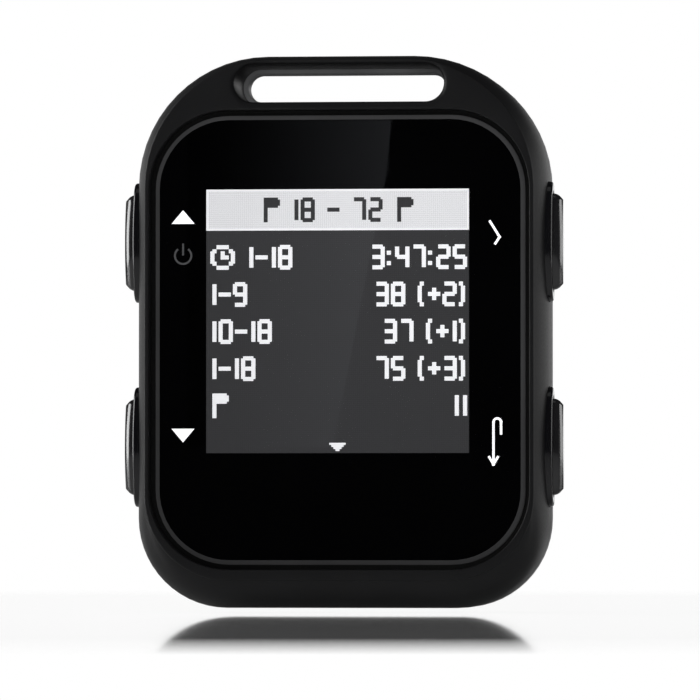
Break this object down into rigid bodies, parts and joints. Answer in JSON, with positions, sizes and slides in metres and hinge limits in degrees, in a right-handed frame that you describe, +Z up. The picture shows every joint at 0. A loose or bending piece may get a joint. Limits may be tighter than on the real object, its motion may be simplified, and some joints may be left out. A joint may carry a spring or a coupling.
{
  "type": "golf gps watch",
  "caption": "Small black clip-on golf GPS unit with a square display behind a rounded cover lens, side push buttons, a lanyard slot through its top edge and a sprung belt clip.",
  "frame": {"origin": "bottom centre of the whole unit, on the surface it stands on, midway across its width and its depth", "axes": "+Z up the unit towards the lanyard slot, -Y out of the display towards the reader, +X to the reader's right"},
  "size_m": [0.0374, 0.0132, 0.0468],
  "materials": {
    "case": "fine satin moulded black plastic",
    "rear_shell": "fine textured mid grey plastic",
    "clip": "satin moulded black plastic",
    "bezel": "polished black plastic",
    "button": "polished black plastic",
    "lens": "clear hard-coated cover lens",
    "mask": "black ink print behind the lens",
    "gasket": "black silicone rubber",
    "seal": "dark rubber",
    "display": "grey monochrome display glass",
    "light_guide": "clear acrylic light guide and white film",
    "steel": "thin tinned steel sheet",
    "fastener": "stainless steel",
    "plunger": "grey moulded nylon",
    "board": "green solder mask on glass laminate",
    "chip": "moulded black resin",
    "connector": "ivory moulded plastic",
    "flex": "amber polyimide film",
    "ceramic": "fired ceramic",
    "silver": "silvered electrode",
    "cell": "laminated foil pouch",
    "foam": "dark adhesive foam",
    "wire": "red insulated wire",
    "gold": "gold plated brass",
    "insert": "knurled brass"
  },
  "bodies": {
    "case": {"front_case": "case", "rear_case": "rear_shell", "case_seal": "gasket", "lens": "lens", "lens_gasket": "gasket", "lens_mask": "mask", "display_glass": "display", "display_frame": "connector", "backlight": "light_guide", "reflector": "light_guide", "display_flex": "flex", "display_connector": "connector", "main_board": "board", "board_chips": "chip", "gps_shield": "steel", "power_shield": "steel", "gps_antenna": "ceramic", "antenna_electrode": "silver", "battery": "cell", "battery_pad": "foam", "battery_leads": "wire", "battery_connector": "connector", "contact_block": "chip", "charge_contacts": "gold", "case_screws": "fastener", "screw_seals": "seal", "screw_inserts": "insert", "clip_pin": "fastener", "up_bezel": "bezel", "down_bezel": "bezel", "ok_bezel": "bezel", "back_bezel": "bezel", "up_seal": "seal", "down_seal": "seal", "ok_seal": "seal", "back_seal": "seal", "up_switch": "connector", "down_switch": "connector", "ok_switch": "connector", "back_switch": "connector"},
    "up_button": {"up_cap": "button", "up_plunger": "plunger"},
    "down_button": {"down_cap": "button", "down_plunger": "plunger"},
    "ok_button": {"ok_cap": "button", "ok_plunger": "plunger"},
    "back_button": {"back_cap": "button", "back_plunger": "plunger"},
    "belt_clip": {"clip": "clip", "clip_spring": "fastener", "clip_grip": "seal"}
  },
  "joints": [
    {"name": "up_press", "type": "slide", "parent": "case", "child": "up_button", "axis": [1, 0, 0], "range_m": [0, 0.00035], "stiffness_N_per_m": 400, "springref_m": -0.0004},
    {"name": "down_press", "type": "slide", "parent": "case", "child": "down_button", "axis": [1, 0, 0], "range_m": [0, 0.00035], "stiffness_N_per_m": 400, "springref_m": -0.0004},
    {"name": "ok_press", "type": "slide", "parent": "case", "child": "ok_button", "axis": [-1, 0, 0], "range_m": [0, 0.00035], "stiffness_N_per_m": 400, "springref_m": -0.0004},
    {"name": "back_press", "type": "slide", "parent": "case", "child": "back_button", "axis": [-1, 0, 0], "range_m": [0, 0.00035], "stiffness_N_per_m": 400, "springref_m": -0.0004},
    {"name": "clip_hinge", "type": "hinge", "parent": "case", "child": "belt_clip", "pos_m": [0, 0.00515, 0.0325], "axis": [1, 0, 0], "range_deg": [0, 12], "stiffness_Nm_per_rad": 0.01, "springref_deg": -34.38}
  ]
}
